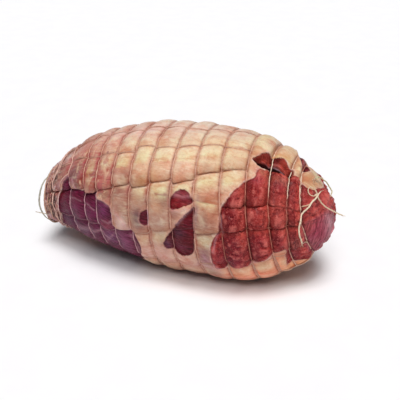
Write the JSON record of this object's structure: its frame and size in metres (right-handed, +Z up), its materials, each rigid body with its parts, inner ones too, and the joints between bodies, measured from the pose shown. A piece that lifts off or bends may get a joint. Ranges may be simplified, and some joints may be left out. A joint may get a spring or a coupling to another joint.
{
  "type": "raw leg of lamb",
  "caption": "Raw boned leg of lamb, rolled into a blunt spindle and held in string netting, with a tied string end.",
  "frame": {"origin": "middle of the bottom of the whole object's box, on the surface that it lies on", "axes": "+X along the rolled joint towards its thick, tied cut end; -Y is the side with the cut muscle showing; +Z up"},
  "size_m": [0.267, 0.1286, 0.1225],
  "materials": {
    "meat_and_fat": "moist raw meat under patchy cream fat, soft wet gloss",
    "net_thread": "thin twisted cotton thread, stained by the meat",
    "tie_twine": "undyed twisted cotton twine with frayed ends"
  },
  "bodies": {
    "root": {"meat": "meat_and_fat", "netting": "net_thread", "end_tie": "tie_twine"}
  },
  "joints": []
}
